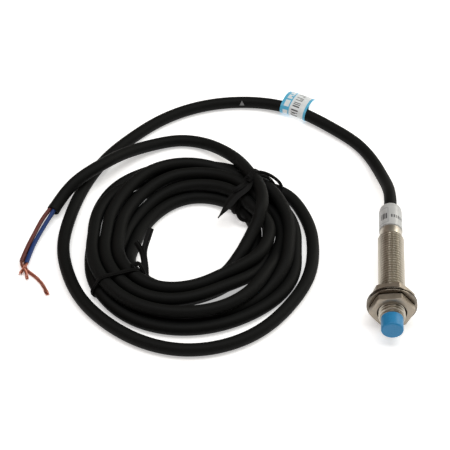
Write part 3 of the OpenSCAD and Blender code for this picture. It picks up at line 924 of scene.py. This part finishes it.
def build_upper_tie():
    """A loop round the bundle, a lumpy knot, a short stub, a wide pointed tail and three bent ends."""
    parts = [tie_loop(-2, 10)]
    knot = np.array([-45.6, 32.2, 10.6])
    for turn in (0, 0.25, 0.5):
        a = np.linspace(0, TURN * 0.8, 9) + TURN * turn
        coil = knot + np.stack([0.9 * np.cos(a) + 0.5 * (a - a[0]) / TURN - 0.3, 0.7 * np.sin(a),
                                0.7 * np.sin(a + turn * 4)], axis=1)
        parts.append(ribbon(coil, 1.1, 0.8, 0.4))
    parts.append(ribbon([knot, (-47.6, 29, 10.7), (-50.2, 27.4, 10)], 1.4, 0.6, 0.1))
    parts.append(ribbon([knot, (-45.8, 29.8, 10.2), (-48.5, 27, 9.2), (-51.1, 23.9, 7.6), (-54.2, 19, 6)],
                        3.1, 0.7, pointed=True))
    parts.append(ribbon([(-45.1, 31.4, 10.8), (-44.3, 34.5, 10.9), (-42.4, 36.7, 10.2), (-39.9, 37.6, 8.8),
                         (-37.2, 37.6, 7), (-34.8, 36.1, 4), (-35.6, 35, 2.4)], 1.2, 1))
    parts.append(ribbon([(-45.4, 30.8, 11.2), (-43.6, 33.6, 10.9), (-41.2, 35.2, 10.1), (-38.4, 35.6, 8),
                         (-36.4, 34.4, 5)], 1.1, 0.9))
    parts.append(ribbon([(-46.3, 28, 7.5), (-44.2, 25.2, 5.5), (-43.9, 23, 3.6), (-46.2, 21.7, 2.8),
                         (-48.2, 23.4, 3.8), (-47.5, 26.6, 6.5)], 1.1, 1))
    points, faces = joined(parts)
    return mesh_object("upper_twist_tie", points, faces, tie_black, 40)


def build_lower_tie():
    """A loop round the bundle, a small eye inside it and two ends that rise in a V."""
    parts = [tie_loop(LOWER_TIE_AT, -14)]
    parts.append(ribbon([(-78.6, -6.2, 8.6), (-76.6, -5.1, 8.6), (-75.3, -6, 7.2), (-74.8, -6.6, 5),
                         (-76.2, -6.6, 4)], 1.4, 1))
    parts.append(ribbon([(-74.4, -6.2, 3.6), (-75, -2.3, 5.6), (-75.7, 1.4, 7), (-75.1, 5.1, 8.6),
                         (-74.3, 8.7, 10)], 1.9, 1.5))
    parts.append(ribbon([(-75.4, -5.8, 4.2), (-75.4, -2, 6), (-76.2, 0.4, 7.6), (-77.2, 1.7, 9),
                         (-78.3, 2.6, 10)], 1.7, 1.4))
    points, faces = joined(parts)
    return mesh_object("lower_twist_tie", points, faces, tie_black, 40)


def flag_flap(s, below=0.0):
    """A point, (back, up) from the cable's centre, of the flap that droops behind the cable.

    s runs along the flap, and below is how far under its upper layer the point is.
    """
    heading = FLAG_RISE - s / FLAG_CURL
    back = FLAG_CURL * (math.sin(FLAG_RISE) - math.sin(heading)) - FLAG_R * math.sin(FLAG_RISE)
    up = FLAG_CURL * (math.cos(heading) - math.cos(FLAG_RISE)) + FLAG_R * math.cos(FLAG_RISE)
    return back + below * math.sin(heading), up - below * math.cos(heading)


def build_flag():
    """The flag label: a film wrapped once round the cable, its ends pressed together as a flap."""
    at = np.linalg.norm(cable_path - FLAG_CENTRE, axis=1).argmin()
    way = unit((cable_path[at - 3] - cable_path[at + 3]) * (1, 1, 0))
    centre = cable_path[at] + way * ((FLAG_CENTRE - cable_path[at]) @ way)
    back = np.array([-way[1], way[0], 0])
    up = np.array([0, 0, 1.0])
    film, between_layers = 0.05, 0.14
    wrap_end, closed_from = -5.2, 2.8
    upper_layer = [flag_flap(s) for s in np.linspace(FLAG_L, 0, 26)]
    wrap = [(FLAG_R * math.sin(a), FLAG_R * math.cos(a))
            for a in np.linspace(-FLAG_RISE - 0.1, wrap_end, 44)]
    lower_layer = [flag_flap(s, between_layers) for s in np.linspace(closed_from, FLAG_L, 22)]
    outline = np.array(upper_layer + wrap + lower_layer)
    outline[1:-1] = (outline[:-2] + 2 * outline[1:-1] + outline[2:]) / 4
    normal = unit(np.gradient(outline, axis=0))[:, ::-1] * (-1, 1)
    profile = np.concatenate([outline + film * normal, (outline - film * normal)[::-1]])
    columns = np.linspace(-FLAG_W / 2, FLAG_W / 2, 89)
    run = along(cable_path)
    on_cable_at = run[at] - (centre - cable_path[at]) @ way - columns
    spine = np.stack([np.interp(on_cable_at, run, cable_path[:, k]) for k in range(3)], axis=1)
    section = profile[:, :1] * (back - FLAG_SKEW * way) + profile[:, 1:] * up
    points = [spot + section for spot in spine]
    n, half = len(profile), len(outline)
    faces = grid_faces(len(columns), n, wrap_columns=True)
    for end in (0, (len(columns) - 1) * n):
        faces += [(end + k, end + k + 1, end + n - 2 - k, end + n - 1 - k) for k in range(half - 1)]
    inks = [flag_white, print_cyan, print_dark]
    piece = mesh_object("flag_label", np.concatenate(points), faces, inks, 60)
    down = along(outline)
    for face in piece.data.polygons:
        spot = np.array(face.center) / MM - centre
        nearest = np.linalg.norm(outline - (spot @ back, spot[2]), axis=1).argmin()
        face.material_index = flag_print(spot @ way + FLAG_SKEW * (spot @ back), down[nearest])
    return piece


def flag_print(across, down):
    """Which ink covers a spot of the flag: 0 none, 1 cyan, 2 dark. down is from the flap's free edge."""
    box_pitch, bars_pitch, bars_from = 3.9, 3.2, 1.6
    if across < -3.7 or across > 3.9 or -1.8 < across < -1.5:
        return 1
    if across <= -1.8:
        return 0 if across < -2 and 0.5 < down % box_pitch < 3.3 else 1
    if -0.7 < across < 1.9 and bars_from < down < 14.4:
        u = (down - bars_from) % bars_pitch
        return 2 if u < 0.5 or 0.95 < u < 1.2 or 1.7 < u < 2.3 else 0
    return 0


def build_cable_mark():
    """A small plain triangle printed on the front of the jacket, with its tip up."""
    at = np.linalg.norm(cable_path - np.array(MARK_CENTRE), axis=1).argmin()
    way = unit(cable_path[at + 2] - cable_path[at - 2])
    side = unit(np.cross((0, 0, 1), way))
    up = np.array([0, 0, 1])
    r = JACKET_R + 0.015
    foot, tip = -82, -34
    half_width, half_tip = 0.86, 0.02
    rows, columns = 9, 7
    points = []
    for t in np.linspace(0, 1, rows):
        a = math.radians(foot + (tip - foot) * t)
        out = cable_path[at] + r * (math.sin(a) * -side + math.cos(a) * up)
        half = half_width + (half_tip - half_width) * t
        points += [out + way * s * half for s in np.linspace(-1, 1, columns)]
    return mesh_object("cable_print_mark", points, grid_faces(rows, columns), mark_grey)


cable = place(build_cable(), "sensor", "jacket_black", "cable_lead", "cable_coil", "cable_tail")
on_cable = [
    place(build_core("brown_wire_core", BROWN_ROUTE, core_brown), "sensor", "core_brown", "brown_core"),
    place(build_core("blue_wire_core", BLUE_ROUTE, core_blue), "sensor", "core_blue", "blue_core"),
    place(build_core("black_wire_core", BLACK_ROUTE, core_black), "sensor", "core_black", "black_core"),
    place(build_conductor("brown_wire_strands", BROWN_STRAND_ROUTE, 0.35, 1), "sensor", "bare_copper",
          "brown_conductor"),
    place(build_conductor("blue_wire_strands", BLUE_STRAND_ROUTE, 0.3, 2), "sensor", "bare_copper",
          "blue_conductor"),
    place(build_conductor("black_wire_strands", BLACK_STRAND_ROUTE, 0.06, 3, 0.37), "sensor", "bare_copper",
          "black_conductor"),
    place(build_upper_tie(), "sensor", "tie_black", "upper_tie"),
    place(build_lower_tie(), "sensor", "tie_black", "lower_tie"),
    place(build_flag(), "sensor", "flag_film", "cable_flag"),
    place(build_jacket_cut(), "sensor", "jacket_black"),
    place(build_cable_mark(), "sensor", "flag_film"),
]


# ---------------------------------------------------------------- floor, lights and camera

def add_floor():
    """White paper that glows a little, so that it stays white under soft light."""
    half = 4.0
    corners = [(-half, -half, 0), (half, -half, 0), (half, half, 0), (-half, half, 0)]
    mesh = bpy.data.meshes.new("floor")
    mesh.from_pydata(corners, [], [(0, 1, 2, 3)])
    mesh.materials.append(finish_of("floor_paper", (0.93, 0.93, 0.93), (0.95, 0.95, 0.95), 40, (0.7, 0.8),
                                    bump_mm=0, emission=0.46))
    floor = bpy.data.objects.new("floor", mesh)
    bpy.context.scene.collection.objects.link(floor)


def add_softbox(name, place_at, aim, size, watts, colour=(1, 1, 1)):
    """A rectangular light. Its places and size are in metres."""
    light = bpy.data.lights.new(name, "AREA")
    light.shape = "RECTANGLE"
    light.size, light.size_y = size
    light.energy = watts
    light.color = colour
    lamp = bpy.data.objects.new(name, light)
    lamp.location = place_at
    lamp.rotation_euler = (Vector(aim) - Vector(place_at)).to_track_quat("-Z", "Y").to_euler()
    bpy.context.scene.collection.objects.link(lamp)


def add_world(strength):
    """Plain studio walls: light to the upper right, dark in between, rosy grey to the left and below."""
    world = bpy.data.worlds.new("studio")
    world.use_nodes = True
    nodes, links = world.node_tree.nodes, world.node_tree.links
    background = nodes["Background"]
    where = nodes.new("ShaderNodeTexCoord")
    slope = nodes.new("ShaderNodeVectorMath")
    slope.operation = "DOT_PRODUCT"
    slope.inputs[1].default_value = (0.8, 0.2, 0.4)
    links.new(where.outputs["Generated"], slope.inputs[0])
    stops = [(0, (0.5, 0.39, 0.33)), (0.3, (0.2, 0.19, 0.155)), (0.5, (0.25, 0.245, 0.2)),
             (0.7, (1, 0.98, 0.88))]
    links.new(ramp_colour(nodes, links, slope.outputs["Value"], stops), background.inputs["Color"])
    background.inputs["Strength"].default_value = strength
    bpy.context.scene.world = world


def add_camera():
    """The photograph's view: 45 degrees down, and a little to the left of the sensor's own axis."""
    elevation, azimuth = math.radians(44.86), math.radians(-4.16)
    aim = Vector((-52.24, 21.96, 0)) * MM
    distance = 448.7 * MM
    way = Vector((math.sin(azimuth) * math.cos(elevation), math.cos(azimuth) * math.cos(elevation),
                  -math.sin(elevation)))
    data = bpy.data.cameras.new("camera")
    data.lens = 112
    data.sensor_width = 36
    data.clip_start, data.clip_end = 0.01, 20
    camera = bpy.data.objects.new("camera", data)
    camera.location = aim - way * distance
    camera.rotation_euler = way.to_track_quat("-Z", "Y").to_euler()
    bpy.context.scene.collection.objects.link(camera)
    bpy.context.scene.camera = camera


add_floor()
add_world(0.5)
add_softbox("overhead", (-0.05, 0, 0.9), (-0.05, 0.02, 0), (0.9, 0.5), 5.5)
add_softbox("right_back", (0.6, 0.5, 0.35), (0, 0, 0), (0.5, 0.3), 2.5, (1, 0.96, 0.88))
add_camera()
bpy.context.scene.view_settings.view_transform = "Standard"
